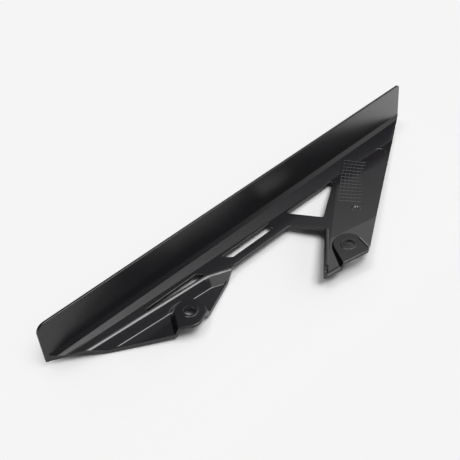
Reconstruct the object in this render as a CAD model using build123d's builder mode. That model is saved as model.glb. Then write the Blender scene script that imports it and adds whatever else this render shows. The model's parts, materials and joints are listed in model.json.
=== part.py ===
from build123d import *
import math
import os

# Chain guard for a motorcycle, moulded in one piece with an even wall.
# A flange roofs the chain. A side panel hangs from the flange and carries two bolt seats.
# While it is built, X runs along the fold from the rear end, Y points from the panel to
# the flange, Z points to the wheel, and Z = 0 is the inner face of the panel.
# A place is a distance from the rear end, and a drop is a distance below the flange.

# Flange and fold, in millimetres
guard_length = 410.0
wall = 2.5
flange_height = 37.6
flange_rear_round = 8.0
flange_front_round = 3.0
flange_foot_round = 3.0
fold_round = 1.0
edge_round = 0.5

# Bevel and ramp that fill the inside of the fold; the ramp widens towards the front
bevel_top = 4.5
bevel_reach = 2.9
ramp_top = 1.5
ramp_reach_rear = 7.0
ramp_reach_front = 19.5

# Outline of the panel
knee_place = 105.0
knee_drop = 57.0
knee_round = 10.0
strut_start = 167.0
strut_end = 232.0
strut_drop = 29.8
strut_round = 7.0
bar_foot_place = 249.5
bar_foot_drop = 54.5
bar_foot_round = 1.5
toe_place = 210.5
toe_drop = 89.5
toe_round = 0.8
toe_edge_angle = 12.0
front_edge_angle = 32.5
front_corner_round = 4.0

# Openings that lighten the panel
slot_slant = 45.0
slot_round = 0.7
long_slot_start = 166.5
long_slot_end = 221.0
long_slot_drop = 15.0
long_slot_width = 7.0
short_slot_start = 86.5
short_slot_end = 138.0
short_slot_drop = 14.6
short_slot_to_ridge = 2.4
window_rear = 241.5
window_drop = 16.6
window_corner_place = 259.4
window_corner_drop = 43.8
window_round = 1.6

# Blister round the rear seat: its ridge leaves the fold at a small angle and bends once
ridge_drop = 12.2
ridge_angle = 4.3
ridge_bend = 143.0
ridge_bend_angle = 23.0
ridge_bend_round = 18.0
ridge_round = 4.0
blister_depth = 6.8
blister_wall_angle = 42.5
blister_foot_round = 1.5

# Front panel: two gentle creases, parallel to the edge at the toe, and a rim beside the bar
upper_crease_height = 83.0
lower_crease_height = 30.5
upper_slope = 1.5
lower_slope = 7.5
rim_top_place = 298.0
rim_top_drop = 24.5
rim_angle = 37.8

# Lip along the low edges
lip_width = 1.8
lip_height = 1.0

# Bolt seats: pads level with the panel, each with a pocket for the bolt head behind it
rear_hole_place = 109.5
rear_hole_drop = 41.0
front_hole_place = 249.5
front_hole_drop = 81.5
hole_diameter = 9.5
pad_radius = 12.6
pad_draft = 27.0
pad_round = 0.8
front_pad_spread = 13.0

# Lengths that only have to reach past the part, and the slack for picking out faces
past = 30.0
far = guard_length / 2
slack = 0.01


def slope(angle):
    """Rise over run of a line at an angle in degrees."""
    return math.tan(math.radians(angle))


# Corners of the outline that follow from the sizes
knee = (knee_place, -knee_drop)
bar_foot = (bar_foot_place, -bar_foot_drop)
toe = (toe_place, -toe_drop)
edge_run = guard_length * slope(front_edge_angle) - toe_drop + toe_place * slope(toe_edge_angle)
front_corner_place = edge_run / (slope(front_edge_angle) + slope(toe_edge_angle))
front_corner = (front_corner_place, (front_corner_place - guard_length) * slope(front_edge_angle))
rear_edge_angle = math.degrees(math.atan2(knee_drop, knee_place - flange_foot_round))

# Corners of the openings
window_height = window_corner_drop - window_drop
window_corner = (window_corner_place, -window_corner_drop)
window_front = (window_corner_place + window_height / slope(front_edge_angle), -window_drop)
long_slot_foot = long_slot_drop + long_slot_width
long_slot_slant = long_slot_width / slope(slot_slant)
short_slot_height = ridge_drop + short_slot_end * slope(ridge_angle) - short_slot_to_ridge - short_slot_drop
short_slot_slant = short_slot_height / (slope(slot_slant) - slope(ridge_angle))

# Front panel: a plane square to its creases, with its own X running down to the toe's edge
crease_along = Vector(1, 0).rotate(Axis.Z, -toe_edge_angle)
crease_down = crease_along.rotate(Axis.Z, -90)
crease_start = Vector(*toe) - crease_down * upper_crease_height
crease_plane = Plane(crease_start, x_dir=crease_down, z_dir=-crease_along)
lower_crease = upper_crease_height - lower_crease_height
floor_end = upper_crease_height + past

# Blister: how far its wall runs, how far its outer ridge lies from the inner one,
# and the round outside its foot, a wall larger than the one inside
blister_run = blister_depth / slope(blister_wall_angle)
blister_shift = wall * slope(blister_wall_angle / 2)
outer_foot_round = blister_foot_round + wall

# Radius of a pocket at its ceiling, which keeps the slanting wall of a pad even
pocket_radius = pad_radius + wall * (slope(pad_draft) - 1 / math.cos(math.radians(pad_draft)))

# Each seat: middle of its hole, lean of its mouth, and spread of its rear side
seats = (
    (Vector(rear_hole_place, -rear_hole_drop), rear_edge_angle, 0),
    (Vector(front_hole_place, -front_hole_drop), toe_edge_angle, front_pad_spread),
)


def ridge_at(place):
    """Y of the ridge before its bend."""
    return -ridge_drop - place * slope(ridge_angle)


def floor_at(run):
    """Z of the front panel's floor at a run down from its upper crease."""
    below = max(run - lower_crease, 0)
    return -(run - below) * slope(upper_slope) - below * slope(lower_slope)


def outline_face():
    """Plan of the whole guard, flange included, with its corners rounded."""
    with BuildSketch() as face:
        with BuildLine():
            Polyline(
                (0, wall),
                (0, 0),
                (flange_foot_round, 0),
                knee,
                (strut_start, -strut_drop),
                (strut_end, -strut_drop),
                bar_foot,
                toe,
                front_corner,
                (guard_length, 0),
                (guard_length, wall),
                close=True,
            )
        make_face()
        for corner, radius in (
            (knee, knee_round),
            ((strut_end, -strut_drop), strut_round),
            (bar_foot, bar_foot_round),
            (toe, toe_round),
            (front_corner, front_corner_round),
        ):
            fillet(face.vertices().sort_by_distance((*corner, 0))[0], radius=radius)
    return face.sketch


def blister_face(shift):
    """Plan of the blister, open past the outline, its ridge moved towards the flange."""
    bend = (ridge_bend, ridge_at(ridge_bend) + shift)
    end = (ridge_bend + 2 * past, bend[1] - 2 * past * slope(ridge_bend_angle))
    with BuildSketch() as face:
        with BuildLine():
            Polyline(
                (-past, ridge_at(-past) + shift),
                bend,
                end,
                (end[0], -far),
                (-past, -far),
                close=True,
            )
        make_face()
        fillet(face.vertices().sort_by_distance((*bend, 0))[0], radius=ridge_bend_round + shift)
    return face.sketch


def pad_face(centre, mouth_angle, spread, radius):
    """Plan of a seat: a disc with two straight sides that run out over the edge."""
    front_side = Vector(1, 0).rotate(Axis.Z, -90 - mouth_angle)
    rear_side = front_side.rotate(Axis.Z, -spread)
    front_start = centre + front_side.rotate(Axis.Z, 90) * radius
    rear_start = centre + rear_side.rotate(Axis.Z, -90) * radius
    with BuildSketch() as face:
        with Locations(centre):
            Circle(radius)
        with BuildLine():
            Polyline(
                centre,
                rear_start,
                rear_start + rear_side * past,
                front_start + front_side * past,
                front_start,
                close=True,
            )
        make_face()
    return face.sketch


# Pads of both seats, wider towards their feet
with BuildPart() as pads:
    for centre, mouth_angle, spread in seats:
        with BuildSketch():
            add(pad_face(centre, mouth_angle, spread, pad_radius))
        extrude(amount=-past, taper=-pad_draft)

# Pockets for the bolt heads, a wall inside the pads
with BuildPart() as pockets:
    for centre, mouth_angle, spread in seats:
        with BuildSketch(Plane.XY.offset(-wall)):
            add(pad_face(centre, mouth_angle, spread, pocket_radius))
        extrude(amount=-past, taper=-pad_draft)

# Hollow of the blister, without its lip and its pad
with BuildPart() as blister_hollow:
    with BuildSketch():
        add(blister_face(0))
    extrude(amount=-blister_depth, taper=90 - blister_wall_angle)
    fillet(blister_hollow.edges().group_by(Axis.Z)[0], radius=blister_foot_round)
    with BuildSketch(Plane.XY.offset(-blister_depth)):
        add(outline_face())
        offset(amount=-lip_width, kind=Kind.INTERSECTION, mode=Mode.SUBTRACT)
    extrude(amount=lip_height, mode=Mode.SUBTRACT)
    add(pads.part, mode=Mode.SUBTRACT)

# Hollow of the front panel, without its rim, its lip and its pad
lip_start = upper_crease_height - lip_width
rim_run = past + toe_drop
with BuildPart() as front_hollow:
    with BuildSketch(crease_plane):
        with BuildLine():
            Polyline(
                (0, 0),
                (lower_crease, floor_at(lower_crease)),
                (lip_start, floor_at(lip_start)),
                (lip_start, floor_at(lip_start) + lip_height),
                (floor_end, floor_at(floor_end) + lip_height),
                (floor_end, 0),
                close=True,
            )
        make_face()
    extrude(amount=far, both=True)
    with BuildSketch(Plane.XY.offset(-past)):
        with BuildLine():
            Polyline(
                (rim_top_place, -rim_top_drop),
                (rim_top_place - rim_run / slope(rim_angle), -rim_top_drop - rim_run),
                (guard_length, -rim_top_drop - rim_run),
                (guard_length, -rim_top_drop),
                close=True,
            )
        make_face()
    extrude(amount=2 * past, mode=Mode.INTERSECT)
    add(pads.part, mode=Mode.SUBTRACT)

# Outer side of the front panel, a wall below its floor
with BuildPart() as front_block:
    with BuildSketch(crease_plane):
        with BuildLine():
            Polyline(
                (0, 0),
                (0, -wall),
                (lower_crease, floor_at(lower_crease) - wall),
                (floor_end, floor_at(floor_end) - wall),
                (floor_end, 0),
                close=True,
            )
        make_face()
    extrude(amount=far, both=True)
    with BuildSketch(Plane.XY.offset(-past)):
        with BuildLine():
            Polyline(
                window_front,
                window_corner,
                bar_foot,
                (strut_start, -bar_foot_drop),
                (strut_start, -far),
                (guard_length, -far),
                (guard_length, -window_drop),
                close=True,
            )
        make_face()
    extrude(amount=2 * past, mode=Mode.INTERSECT)

# Bevel and ramp inside the fold, let into the flange and the panel by half a wall
let_in = wall / 2
bevel_rise = let_in * (bevel_top - ramp_top) / bevel_reach
with BuildPart() as fold_fill:
    for place, ramp_reach in ((0, ramp_reach_rear), (guard_length, ramp_reach_front)):
        ramp_run = (ramp_reach - bevel_reach) * (ramp_top + let_in) / ramp_top
        with BuildSketch(Plane.YZ.offset(place)):
            with BuildLine():
                Polyline(
                    (let_in, bevel_top + bevel_rise),
                    (-bevel_reach, ramp_top),
                    (-bevel_reach - ramp_run, -let_in),
                    (let_in, -let_in),
                    close=True,
                )
            make_face()
    loft(ruled=True)

# Flange, with a round all along the edge of its outer face
with BuildPart() as flange:
    with BuildSketch(Plane.XZ) as side:
        with BuildLine():
            Polyline(
                (0, -wall),
                (guard_length, -wall),
                (guard_length, flange_height),
                (0, flange_height),
                close=True,
            )
        make_face()
        for corner, radius in (
            ((0, -wall), flange_foot_round),
            ((0, flange_height), flange_rear_round),
            ((guard_length, flange_height), flange_front_round),
        ):
            fillet(side.vertices().sort_by_distance((*corner, 0))[0], radius=radius)
    extrude(amount=-wall)
    fillet(flange.faces().sort_by(Axis.Y)[-1].edges(), radius=fold_round)

with BuildPart() as guard:
    # Plate of the panel and the blister, oversize until the outline is cut
    with BuildSketch(Plane.XY.offset(-wall)):
        with Locations((guard_length / 2, -far / 2)):
            Rectangle(guard_length, far)
    extrude(amount=wall)
    with BuildSketch(Plane.XY.offset(-wall)):
        add(blister_face(blister_shift))
    extrude(amount=-blister_depth, taper=90 - blister_wall_angle)
    add(blister_hollow.part, mode=Mode.SUBTRACT)
    ridge_middle = (ridge_bend / 2, ridge_at(ridge_bend / 2), 0)
    for level, radius in ((0, ridge_round), (-wall - blister_depth, outer_foot_round)):
        ridge = guard.edges().filter_by_position(Axis.Z, level - slack, level + slack)
        fillet(ridge.sort_by_distance(ridge_middle)[0], radius=radius)

    # Front panel and fold, then the outline, then the flange
    add(front_block.part)
    add(front_hollow.part, mode=Mode.SUBTRACT)
    add(fold_fill.part)
    with BuildSketch(Plane.XY.offset(-past)):
        add(outline_face())
    extrude(amount=2 * past, mode=Mode.INTERSECT)
    add(flange.part)

    # Pockets behind the pads, and the bolt holes
    add(pockets.part, mode=Mode.SUBTRACT)
    with BuildSketch(Plane.XY.offset(-past)):
        for centre, mouth_angle, spread in seats:
            with Locations(centre):
                Circle(hole_diameter / 2)
    extrude(amount=2 * past, mode=Mode.SUBTRACT)

    # Two slots along the fold and the window beside the bar
    with BuildSketch(Plane.XY.offset(-past)) as openings:
        with BuildLine():
            Polyline(
                (long_slot_start, -long_slot_drop),
                (long_slot_end, -long_slot_drop),
                (long_slot_end, -long_slot_foot),
                (long_slot_start + long_slot_slant, -long_slot_foot),
                close=True,
            )
        make_face()
        with BuildLine():
            Polyline(
                (short_slot_start, -short_slot_drop),
                (short_slot_end, -short_slot_drop),
                (
                    short_slot_end + short_slot_slant,
                    ridge_at(short_slot_end + short_slot_slant) + short_slot_to_ridge,
                ),
                (short_slot_start, ridge_at(short_slot_start) + short_slot_to_ridge),
                close=True,
            )
        make_face()
        fillet(openings.vertices(), radius=slot_round)
        with BuildLine():
            Polyline((window_rear, -window_drop), window_front, window_corner, close=True)
        make_face()
        window_corners = openings.vertices().filter_by_position(Axis.X, window_rear, guard_length)
        fillet(window_corners, radius=window_round)
    extrude(amount=2 * past, mode=Mode.SUBTRACT)

    # Rounded edges: openings, strut and bar, free edge of the flange, tops of the pads
    panel_face = guard.faces().filter_by_position(Axis.Z, -slack, slack).sort_by(SortBy.AREA)[-1]
    fillet(panel_face.inner_wires().edges(), radius=edge_round)
    strut_middle = ((strut_start + strut_end) / 2, -strut_drop, 0)
    strut_edge = guard.edges().filter_by_position(Axis.Z, -slack, slack).sort_by_distance(strut_middle)[0]
    fillet(strut_edge, radius=edge_round)
    free_middle = (guard_length / 2, 0, flange_height)
    fillet(guard.edges().sort_by_distance(free_middle)[0], radius=edge_round)
    for centre, mouth_angle, spread in seats:
        pad_top = guard.faces().filter_by_position(Axis.Z, -slack, slack).sort_by_distance(centre)[0]
        fillet(pad_top.outer_wire().edges(), radius=pad_round)

# The guard lies on its outer side, on the foot of the blister and on the front end of the fold
contact_run = blister_run - blister_shift + outer_foot_round * slope(blister_wall_angle / 2)
contact_drop = ridge_drop + contact_run / math.cos(math.radians(ridge_angle))
blister_contact = Vector(0, -contact_drop, -wall - blister_depth)
fold_contact = Vector(guard_length - fold_round, wall - fold_round, -wall)
ridge_along = Vector(1, -slope(ridge_angle), 0)
table_up = ridge_along.cross(fold_contact - blister_contact).normalized()
table = Plane(blister_contact, x_dir=Vector(1, 0, 0) - table_up * table_up.X, z_dir=table_up)
resting = table.to_local_coords(guard.part)
box = resting.bounding_box()
with BuildPart() as chain_guard:
    with Locations((-box.center().X, -box.center().Y, -box.min.Z)):
        add(resting)
chain_guard.part.label = "chain_guard"
os.makedirs("parts", exist_ok=True)
export_step(chain_guard.part, "parts/chain_guard.step")
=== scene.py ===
import json
import math

import bpy
import numpy as np
from mathutils import Matrix, Vector
from mathutils.bvhtree import BVHTree


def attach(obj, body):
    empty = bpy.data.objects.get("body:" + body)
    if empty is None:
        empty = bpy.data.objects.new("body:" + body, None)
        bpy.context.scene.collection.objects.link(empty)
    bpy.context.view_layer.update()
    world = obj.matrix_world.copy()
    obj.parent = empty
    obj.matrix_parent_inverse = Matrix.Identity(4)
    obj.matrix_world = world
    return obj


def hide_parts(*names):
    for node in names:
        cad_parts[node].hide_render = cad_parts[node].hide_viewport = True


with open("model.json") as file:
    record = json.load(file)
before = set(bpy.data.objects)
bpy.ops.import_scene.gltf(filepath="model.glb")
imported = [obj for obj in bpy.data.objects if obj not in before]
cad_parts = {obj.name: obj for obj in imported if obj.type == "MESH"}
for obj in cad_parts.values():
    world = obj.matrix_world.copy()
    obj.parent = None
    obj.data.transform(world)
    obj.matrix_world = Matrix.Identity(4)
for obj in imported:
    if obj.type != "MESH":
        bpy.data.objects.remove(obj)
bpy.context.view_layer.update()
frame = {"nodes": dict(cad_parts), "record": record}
guard = frame["nodes"]["chain_guard"]

# Camera where the photo was taken from: columns for right, up, backwards and place
picture_pixels = 460.0
focal_pixels = 941.0
photo_place = Matrix(
    (
        (0.731450, 0.511917, -0.450469, -0.373565),
        (-0.681878, 0.553818, -0.477837, -0.335274),
        (0.004865, 0.656679, 0.754155, 0.610716),
        (0, 0, 0, 1),
    )
)
lens = bpy.data.cameras.new("camera")
lens.sensor_width = 36.0
lens.lens = lens.sensor_width * focal_pixels / picture_pixels
camera = bpy.data.objects.new("camera", lens)
bpy.context.scene.collection.objects.link(camera)
camera.matrix_world = photo_place
bpy.context.scene.camera = camera
bpy.context.scene.view_settings.view_transform = "Standard"

millimetre = 0.001
microns_in_metre = 1e6
least_length = 1e-12

# Shading of the shell: angles as cosines, widths in metres and areas in square metres
same_facet = math.cos(math.radians(0.2))
flat_width = 0.0013
flat_area = 40e-6
large_area = 1500e-6
near_flat = math.cos(math.radians(2.5))
near_round = math.cos(math.radians(25))

# Plastic: satin, duller on the flange, whose normal runs along Y, with a grain scaled per metre
plastic_colour = (0.0075, 0.0066, 0.0081, 1)
plastic_ior = 1.5
satin_roughness = 0.16
flange_dulling = 0.18
flange_facing = (0.85, 0.95)
grain_scale = 1500
grain_detail = 2
grain_strength = 0.04
grain_height = 0.0002

# Fine relief: places in pixels of the picture, lengths in metres
strip_sink = 0.0004
grid_corners = ((343.5, 160.0), (366.0, 162.5), (338.0, 200.0), (361.0, 201.5))
grid_rows, row_height = 13, 0.00010
grid_columns, column_height = 7, 0.00006
bar_foot, bar_top = 0.0007, 0.0002
mark_turns = 64
mark_sharp = math.radians(30)
mark_sink = 0.00005
upper_pin = (379.3, 151.2)
upper_high_side = (0.80, 0.60, 0.0)
upper_dish = (
    (0.0068, -0.0003),
    (0.0068, -0.00002),
    (0.0041, 0.00034),
    (0.0032, -0.00001),
    (0.0028, -0.0003),
)
lower_pin = (356.3, 208.4)
lower_high_side = (0.68, 0.73, 0.0)
lower_dish = (
    (0.0043, -0.0003),
    (0.0043, -0.00002),
    (0.0032, 0.00050),
    (0.0016, -0.00001),
    (0.0011, -0.0003),
)
collar = (
    (0.0071, -0.0003),
    (0.0070, 0.0),
    (0.0063, 0.00026),
    (0.0054, 0.00012),
    (0.0053, -0.0003),
)
# Name, start, end, number of points, half width at the foot and at the top, height
lips = (
    ("toe_side_lip", (326.7, 229.0), (326.7, 265.6), 5, 0.0017, 0.0007, 0.0005),
    ("toe_foot_lip", (326.6, 274.8), (339.6, 267.4), 4, 0.0016, 0.0005, 0.0002),
    ("pad_rim", (358.8, 237.4), (367.9, 246.2), 3, 0.0011, 0.0002, 0.00035),
)

# Floor: the part that is lit for real, its edges' softness, and the painted light that it shows
# only in reflections
backdrop = 0.913
floor_reach = 3.0
floor_drop = 0.0002
floor_along, along_soft = (-0.203, 0.210), 0.05
floor_across, across_soft = (-0.09, 0.075), 0.06
floor_albedo = 0.62
# Painted light: in reflections the floor is painted brighter, a little all over and much more
# towards the front
painted_gloss_glow = 0.04
front_painted_gloss_glow = 1.62
front_painted_gloss_fade = (0.0, 0.32)

# Studio: soft boxes on a level ceiling that is turned to the picture
ceiling_turn = math.radians(43)
lowest_rise = 0.01
room_radiance = 0.08
# From and to on the right, softness there, from and to ahead, softness near and far, radiance
boxes = (
    (0.08, 0.71, 0.06, -0.28, 0.28, 0.08, 0.10, 13.0),  # overhead, right
    (-0.50, -0.18, 0.08, 0.08, 0.42, 0.08, 0.10, 9.0),  # ahead, left
    (-0.17, 0.80, 0.10, 0.25, 1.20, 0.10, 0.50, 2.0),  # wide fill ahead
    (-0.50, 0.70, 0.20, 0.25, 0.48, 0.10, 0.50, 1.8),  # low fill ahead
    (1.35, 3.50, 0.30, -2.00, 4.00, 0.10, 0.50, 1.6),  # long box on the right
    (0.32, 0.50, 0.10, -0.64, -0.46, 0.06, 0.06, 3.6),  # small box behind the camera
    (-2.00, 2.00, 0.50, 1.65, 9.00, 0.50, 1.00, 0.9),  # glow near the horizon
    (2.00, 9.00, 0.30, 1.65, 12.0, 0.50, 1.00, 3.6),  # horizon on the right
    (0.075, 0.30, 0.06, 1.30, 1.70, 0.14, 0.30, 0.40),  # faint box far ahead
)


def merged_triangles(mesh):
    """Corners and triangles of a CAD mesh, with corners in the same micron made one."""
    corners = np.empty(len(mesh.vertices) * 3)
    mesh.vertices.foreach_get("co", corners)
    corners = corners.reshape(-1, 3)
    loops = np.empty(len(mesh.loops), dtype=np.int64)
    mesh.loops.foreach_get("vertex_index", loops)
    microns = np.round(corners * microns_in_metre).astype(np.int64)
    _, first, place = np.unique(microns, axis=0, return_index=True, return_inverse=True)
    triangles = place.reshape(-1)[loops].reshape(-1, 3)
    a, b, c = triangles.T
    return corners[first], triangles[(a != b) & (b != c) & (c != a)]


def unit(vectors):
    """Vectors of length one: each vector over its own length."""
    return vectors / np.maximum(np.linalg.norm(vectors, axis=-1, keepdims=True), least_length)


def facets_of(corners, triangles):
    """Facet number of each triangle: neighbours that are almost level share a facet.

    Each triangle takes the lowest number among its level neighbours until nothing changes. Also
    gives each facet's normal, which is the sum of its triangles' cross products at length one,
    its area, and its width, which is twice its area over the length of its rim.
    """
    a, b, c = (corners[triangles[:, k]] for k in range(3))
    cross = np.cross(b - a, c - a)
    size = np.linalg.norm(cross, axis=1)
    normal = unit(cross)
    edges = np.concatenate([triangles[:, [k, (k + 1) % 3]] for k in range(3)])
    edges = np.sort(edges, axis=1)
    owner = np.tile(np.arange(len(triangles)), 3)
    order = np.lexsort((edges[:, 1], edges[:, 0]))
    edges, owner = edges[order], owner[order]
    same = np.nonzero((edges[1:] == edges[:-1]).all(axis=1))[0]
    left, right = owner[same], owner[same + 1]
    level = (normal[left] * normal[right]).sum(axis=1) > same_facet
    facet = np.arange(len(triangles))
    while True:
        lower = np.minimum(facet[left[level]], facet[right[level]])
        before = facet.copy()
        np.minimum.at(facet, left[level], lower)
        np.minimum.at(facet, right[level], lower)
        facet = facet[facet]
        if (facet == before).all():
            break
    facet = np.unique(facet, return_inverse=True)[1].reshape(-1)
    count = facet.max() + 1
    area = np.bincount(facet, size / 2, count)
    total = np.stack([np.bincount(facet, cross[:, k], count) for k in range(3)], axis=1)
    rim = facet[left] != facet[right]
    ends = corners[edges[same]]
    length = np.linalg.norm(ends[:, 0] - ends[:, 1], axis=1)[rim]
    around = np.bincount(facet[left[rim]], length, count)
    around += np.bincount(facet[right[rim]], length, count)
    return facet, unit(total), area, 2 * area / np.maximum(around, least_length)


def corner_normals(triangles, facet, normal, area, width):
    """Normal of each triangle corner, even on flats and turning smoothly over rounds.

    A facet that is wide and large enough is a flat. A large flat keeps its own normal. A lesser
    flat takes the mean of the lesser flats at the corner that are nearly level with it. A facet
    of a round takes the normal of the largest flat at the corner that is near it in angle, or
    else the mean of the facets near it there. All pairs of facets that meet at a corner are
    worked out at once.
    """
    # A meeting is one facet at one corner
    facets = len(area)
    keys = triangles.reshape(-1) * facets + np.repeat(facet, 3)
    meetings, place = np.unique(keys, return_inverse=True)
    corner, number = np.divmod(meetings, facets)
    own, size = normal[number], area[number]
    large = size > large_area
    flat = (width[number] > flat_width) & (size > flat_area)
    # All pairs of meetings at the same corner, each meeting with itself too
    pairs = np.bincount(corner)[corner]
    one = np.repeat(np.arange(len(corner)), pairs)
    step = np.arange(len(one)) - np.repeat(np.cumsum(pairs) - pairs, pairs)
    other = np.repeat(np.searchsorted(corner, corner), pairs) + step
    cosine = (own[one] * own[other]).sum(axis=1)
    level = flat[other] & ~large[other] & (cosine > near_flat)
    near = cosine > near_round
    alike = np.where(flat[one], level, near)
    one_alike, other_alike = one[alike], own[other[alike]]
    count = np.bincount(one_alike, minlength=len(corner))
    total = [np.bincount(one_alike, other_alike[:, k], len(corner)) for k in range(3)]
    alone = flat & (large | (count < 2))
    turned = np.where(alone[:, None], own, unit(np.stack(total, axis=1)))
    # The largest flat comes last, so that its normal is the one that stays
    beside = np.nonzero(~flat[one] & flat[other] & near)[0]
    beside = beside[np.argsort(size[other[beside]], kind="stable")]
    turned[one[beside]] = turned[other[beside]]
    return turned[place.reshape(-1)]


def shaded_shell(name, node):
    """Merged copy of a CAD node with its own corner normals."""
    corners, triangles = merged_triangles(node.data)
    normals = corner_normals(triangles, *facets_of(corners, triangles))
    mesh = bpy.data.meshes.new(name)
    mesh.from_pydata(corners.tolist(), [], triangles.tolist())
    mesh.polygons.foreach_set("use_smooth", np.ones(len(triangles), dtype=bool))
    mesh.normals_split_custom_set(normals)
    made = bpy.data.objects.new(name, mesh)
    bpy.context.scene.collection.objects.link(made)
    return made


def math_node(nodes, operation, first, second=None):
    """Math node whose inputs are sockets or plain numbers; gives its output."""
    made = nodes.new("ShaderNodeMath")
    made.operation = operation
    for socket, value in zip(made.inputs, (first, second)):
        if isinstance(value, (int, float)):
            socket.default_value = value
        elif value is not None:
            made.id_data.links.new(value, socket)
    return made.outputs[0]


def fade_node(nodes, value, start, end):
    """Smooth step of a socket's value, from 0 at start to 1 at end."""
    made = nodes.new("ShaderNodeMapRange")
    made.interpolation_type = "SMOOTHSTEP"
    made.inputs["From Min"].default_value = start
    made.inputs["From Max"].default_value = end
    made.id_data.links.new(value, made.inputs["Value"])
    return made.outputs["Result"]


def band_node(nodes, value, low, high, low_soft, high_soft):
    """1 where a socket's value lies from low to high, fading to 0 over two soft edges."""
    rise = fade_node(nodes, value, low - low_soft / 2, low + low_soft / 2)
    fall = fade_node(nodes, value, high + high_soft / 2, high - high_soft / 2)
    return math_node(nodes, "MULTIPLY", rise, fall)


def black_plastic():
    """Black moulded plastic with a satin face and a very fine grain."""
    made = bpy.data.materials.new("black_plastic")
    made.use_nodes = True
    nodes, links = made.node_tree.nodes, made.node_tree.links
    shader = nodes["Principled BSDF"]
    shader.inputs["Base Color"].default_value = plastic_colour
    shader.inputs["IOR"].default_value = plastic_ior
    place = nodes.new("ShaderNodeTexCoord")
    facing = nodes.new("ShaderNodeSeparateXYZ")
    links.new(place.outputs["Normal"], facing.inputs["Vector"])
    flange = fade_node(nodes, math_node(nodes, "ABSOLUTE", facing.outputs["Y"]), *flange_facing)
    dulling = math_node(nodes, "MULTIPLY", flange, flange_dulling)
    links.new(math_node(nodes, "ADD", dulling, satin_roughness), shader.inputs["Roughness"])
    grain = nodes.new("ShaderNodeTexNoise")
    grain.inputs["Scale"].default_value = grain_scale
    grain.inputs["Detail"].default_value = grain_detail
    bump = nodes.new("ShaderNodeBump")
    bump.inputs["Strength"].default_value = grain_strength
    bump.inputs["Distance"].default_value = grain_height
    links.new(place.outputs["Object"], grain.inputs["Vector"])
    links.new(grain.outputs["Fac"], bump.inputs["Height"])
    links.new(bump.outputs["Normal"], shader.inputs["Normal"])
    return made


def plastic_piece(name, corners, faces):
    """Piece of the guard's plastic that rides on its body, from corners in metres."""
    mesh = bpy.data.meshes.new(name)
    mesh.from_pydata(corners.reshape(-1, 3).tolist(), [], faces)
    mesh.materials.append(plastic)
    made = bpy.data.objects.new(name, mesh)
    bpy.context.scene.collection.objects.link(made)
    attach(made, "root")
    return made


def on_guard(right, down):
    """Point and normal of the guard at a place in the picture, from its top left corner.

    The ray leaves the camera, sideways and upwards by the pixels from the picture's middle over
    the focal length, and its first hit counts.
    """
    middle = picture_pixels / 2
    view = Vector(((right - middle) / focal_pixels, (middle - down) / focal_pixels, -1.0))
    ray = camera.matrix_world.to_3x3() @ view.normalized()
    point, normal = surface.ray_cast(camera.matrix_world.translation, ray)[:2]
    return np.array(point), np.array(normal)


def spots_on_guard(places):
    """Array of points and array of normals of the guard at several places in the picture."""
    return np.array([on_guard(*place) for place in places]).transpose(1, 0, 2)


def ring_faces(rows, columns, closed):
    """Four-cornered faces of a grid of corners whose columns close in a ring.

    Corner number = row * columns + column, and each face joins a corner, the next one in its
    row and the two in the next row. When closed, the row after the last is the first.
    """
    row = np.arange(rows if closed else rows - 1)[:, None]
    column = np.arange(columns)
    here, following = row * columns, (row + 1) % rows * columns
    beside = (column + 1) % columns
    faces = [here + column, here + beside, following + beside, following + column]
    return np.stack(faces, axis=-1).reshape(-1, 4)


def strip_section(foot, top, height):
    """Section of a low strip, as sideways and upward lengths, for one height or an array of them.

    Upwards it is minus the sink at the two lowest corners, nought at the foot of the two sloping
    sides and the height at the two ends of the flat top.
    """
    sideways = np.array([-foot, -foot, -top, top, foot, foot])
    sunk = np.array([-strip_sink, 0, 0, 0, 0, -strip_sink])
    upward = sunk + np.multiply.outer(height, [0, 0, 1, 1, 0, 0])
    return np.stack(np.broadcast_arrays(sideways, upward), axis=-1)


def strips(name, points, normals, section):
    """Piece made of strips: a section carried along each line of points with normals.

    Corner = point + across * sideways + normal * upward. Across is square to the normal and to
    the sum of the two runs that meet at the point, and its length is one over the cosine of half
    their turn, so that the runs meet in mitres. Each strip is closed at both ends.
    """
    runs = unit(np.diff(points, axis=1))
    before = np.concatenate([runs[:, :1], runs], axis=1)
    after = np.concatenate([runs, runs[:, -1:]], axis=1)
    half_turn_cosine = np.sqrt((1 + (before * after).sum(axis=-1, keepdims=True)) / 2)
    across = unit(np.cross(normals, before + after)) / half_turn_cosine
    sideways, upward = section[..., None, :, :1], section[..., None, :, 1:]
    corners = points[:, :, None] + across[:, :, None] * sideways + normals[:, :, None] * upward
    count, rows, columns = corners.shape[:3]
    base = np.arange(count)[:, None, None] * rows * columns
    sides = base + ring_faces(rows, columns, False)[:, ::-1]
    number = np.arange(rows * columns)
    ends = base + np.stack([number[:columns], number[::-1][:columns]])
    faces = sides.reshape(-1, 4).tolist() + ends.reshape(-1, columns).tolist()
    return plastic_piece(name, corners, faces)


def mould_grid(name, corner_places, rows, columns):
    """Grid of low bars between four corners in the picture: clear rows and faint columns.

    The ends of a row lie at the same share of the left and the right side, and the ends of a
    column at the same share of the top and the foot: end = start of side + share * side.
    """
    points, normals = spots_on_guard(corner_places)
    down = np.linspace(0, 1, rows)[:, None, None]
    along = np.linspace(0, 1, columns)[:, None, None]
    row_ends = points[[0, 1]] + (points[[2, 3]] - points[[0, 1]]) * down
    column_ends = points[[0, 2]] + (points[[1, 3]] - points[[0, 2]]) * along
    ends = np.concatenate([row_ends, column_ends])
    height = np.repeat([row_height, column_height], [rows, columns])
    level = np.broadcast_to(normals[0], ends.shape)
    return strips(name, ends, level, strip_section(bar_foot, bar_top, height))


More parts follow.
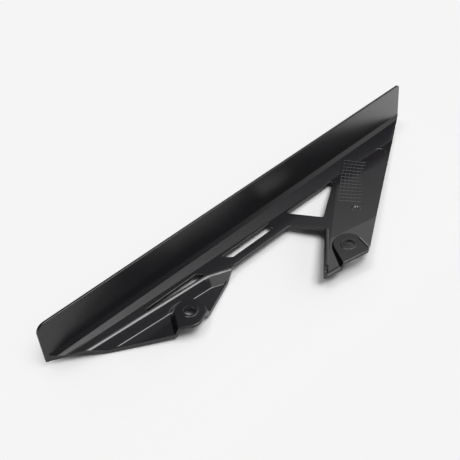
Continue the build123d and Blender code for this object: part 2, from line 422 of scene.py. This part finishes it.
def turned_mark(name, point, normal, profile, high_side=None):
    """Low round relief: a closed profile of radius and height turned about a point's normal.

    Corner = point + spoke * radius + normal * rise, where the spoke turns once round the normal.
    With a high side the lift is one there and nought opposite, and a raised corner's rise is
    height * lift - sink * (1 - lift). Otherwise the rise is the height.
    """
    side = unit(np.cross(normal, (0.0, 1.0, 0.0)))
    angle = np.linspace(0, 2 * np.pi, mark_turns, endpoint=False)[:, None]
    spoke = np.cos(angle) * side + np.sin(angle) * np.cross(normal, side)
    lift = np.ones(mark_turns)
    if high_side is not None:
        lift = (1 + spoke @ unit(np.array(high_side))) / 2
    radius, height = np.array(profile).T[:, :, None]
    rise = np.where(height > 0, height * lift - (1 - lift) * mark_sink, height)
    corners = point + radius[..., None] * spoke + rise[..., None] * normal
    faces = ring_faces(len(profile), mark_turns, True).tolist()
    made = plastic_piece(name, corners, faces)
    made.data.polygons.foreach_set("use_smooth", np.ones(len(faces), dtype=bool))
    made.data.set_sharp_from_angle(angle=mark_sharp)
    return made


plastic = black_plastic()
shell = shaded_shell("guard_shell", guard)
shell.data.materials.append(plastic)
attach(shell, "root")
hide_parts("chain_guard")

# Marks that the mould leaves on the front panel, and a collar round each bolt hole
surface = BVHTree.FromObject(shell, bpy.context.evaluated_depsgraph_get())
mould_grid("mould_grid", grid_corners, grid_rows, grid_columns)
turned_mark("upper_pin_mark", *on_guard(*upper_pin), upper_dish, upper_high_side)
turned_mark("lower_pin_mark", *on_guard(*lower_pin), lower_dish, lower_high_side)
for mount in frame["record"]["mounts"]:
    axis = -unit(np.array(mount["axis"]))
    half_wall = mount["dims"]["length_mm"] * millimetre / 2
    face_middle = np.array(mount["pos_m"]) + axis * half_wall
    turned_mark(mount["name"] + "_collar", face_middle, axis, collar)

# Lips along two edges of the toe, and the raised front rim of the front pad
for name, start, end, count, foot, top, height in lips:
    points, normals = spots_on_guard(np.linspace(start, end, count))
    strips(name, points[None], normals[None], strip_section(foot, top, height))

# Pale floor: lit for real near the guard, and an even pale grey for the camera further away
floor_mesh = bpy.data.meshes.new("floor")
floor_corners = [(-1, -1), (1, -1), (1, 1), (-1, 1)]
floor_mesh.from_pydata(
    [(x * floor_reach, y * floor_reach, 0) for x, y in floor_corners], [], [(0, 1, 2, 3)]
)
floor = bpy.data.objects.new("floor", floor_mesh)
bpy.context.scene.collection.objects.link(floor)
floor.location.z = -floor_drop
pale = bpy.data.materials.new("pale_floor")
pale.use_nodes = True
nodes, links = pale.node_tree.nodes, pale.node_tree.links
nodes.remove(nodes["Principled BSDF"])
paper = nodes.new("ShaderNodeBsdfDiffuse")
even = nodes.new("ShaderNodeEmission")
even.inputs["Color"].default_value = (backdrop, backdrop, backdrop, 1)
place = nodes.new("ShaderNodeTexCoord")
apart = nodes.new("ShaderNodeSeparateXYZ")
path = nodes.new("ShaderNodeLightPath")
blend = nodes.new("ShaderNodeMixShader")
links.new(place.outputs["Object"], apart.inputs["Vector"])
along = band_node(nodes, apart.outputs["X"], *floor_along, along_soft, along_soft)
across = band_node(nodes, apart.outputs["Y"], *floor_across, across_soft, across_soft)
near_guard = math_node(nodes, "MULTIPLY", along, across)
far_off = math_node(nodes, "SUBTRACT", 1.0, near_guard)
shown = math_node(nodes, "MULTIPLY", far_off, path.outputs["Is Camera Ray"])
links.new(shown, blend.inputs["Fac"])
# Painted light in reflections: for glossy rays the floor's colour is raised, a little everywhere
# and most towards the front
front = fade_node(nodes, apart.outputs["X"], *front_painted_gloss_fade)
painted_front_glow = math_node(nodes, "MULTIPLY", front, front_painted_gloss_glow)
gain = math_node(nodes, "ADD", painted_front_glow, painted_gloss_glow)
gain = math_node(nodes, "MULTIPLY", gain, path.outputs["Is Glossy Ray"])
albedo = math_node(nodes, "MULTIPLY", math_node(nodes, "ADD", gain, 1.0), floor_albedo)
grey = nodes.new("ShaderNodeCombineColor")
for socket in grey.inputs[:3]:
    links.new(albedo, socket)
links.new(grey.outputs[0], paper.inputs["Color"])
links.new(paper.outputs[0], blend.inputs[1])
links.new(even.outputs[0], blend.inputs[2])
links.new(blend.outputs[0], nodes["Material Output"].inputs["Surface"])
floor_mesh.materials.append(pale)

# Studio: pale for the camera, and soft boxes overhead for the guard. A direction's place on the
# ceiling is its run to the right and ahead over its rise.
world = bpy.data.worlds.new("studio")
bpy.context.scene.world = world
world.use_nodes = True
nodes, links = world.node_tree.nodes, world.node_tree.links
nodes.clear()
out = nodes.new("ShaderNodeOutputWorld")
mix = nodes.new("ShaderNodeMixShader")
path = nodes.new("ShaderNodeLightPath")
seen = nodes.new("ShaderNodeBackground")
seen.inputs["Color"].default_value = (backdrop, backdrop, backdrop, 1)
lit = nodes.new("ShaderNodeBackground")
place = nodes.new("ShaderNodeTexCoord")
apart = nodes.new("ShaderNodeSeparateXYZ")
level_turn = nodes.new("ShaderNodeVectorRotate")
level_turn.rotation_type = "Z_AXIS"
level_turn.inputs["Angle"].default_value = ceiling_turn
links.new(place.outputs["Generated"], level_turn.inputs["Vector"])
links.new(level_turn.outputs["Vector"], apart.inputs["Vector"])
rise = math_node(nodes, "MAXIMUM", apart.outputs["Z"], lowest_rise)
right = math_node(nodes, "DIVIDE", apart.outputs["X"], rise)
ahead = math_node(nodes, "DIVIDE", apart.outputs["Y"], rise)
radiance = room_radiance
for low_right, high_right, side_soft, low_ahead, high_ahead, near_soft, far_soft, level in boxes:
    sides = band_node(nodes, right, low_right, high_right, side_soft, side_soft)
    depth = band_node(nodes, ahead, low_ahead, high_ahead, near_soft, far_soft)
    box = math_node(nodes, "MULTIPLY", math_node(nodes, "MULTIPLY", sides, depth), level)
    radiance = math_node(nodes, "ADD", box, radiance)
links.new(radiance, lit.inputs["Strength"])
links.new(path.outputs["Is Camera Ray"], mix.inputs["Fac"])
links.new(lit.outputs[0], mix.inputs[1])
links.new(seen.outputs[0], mix.inputs[2])
links.new(mix.outputs[0], out.inputs["Surface"])
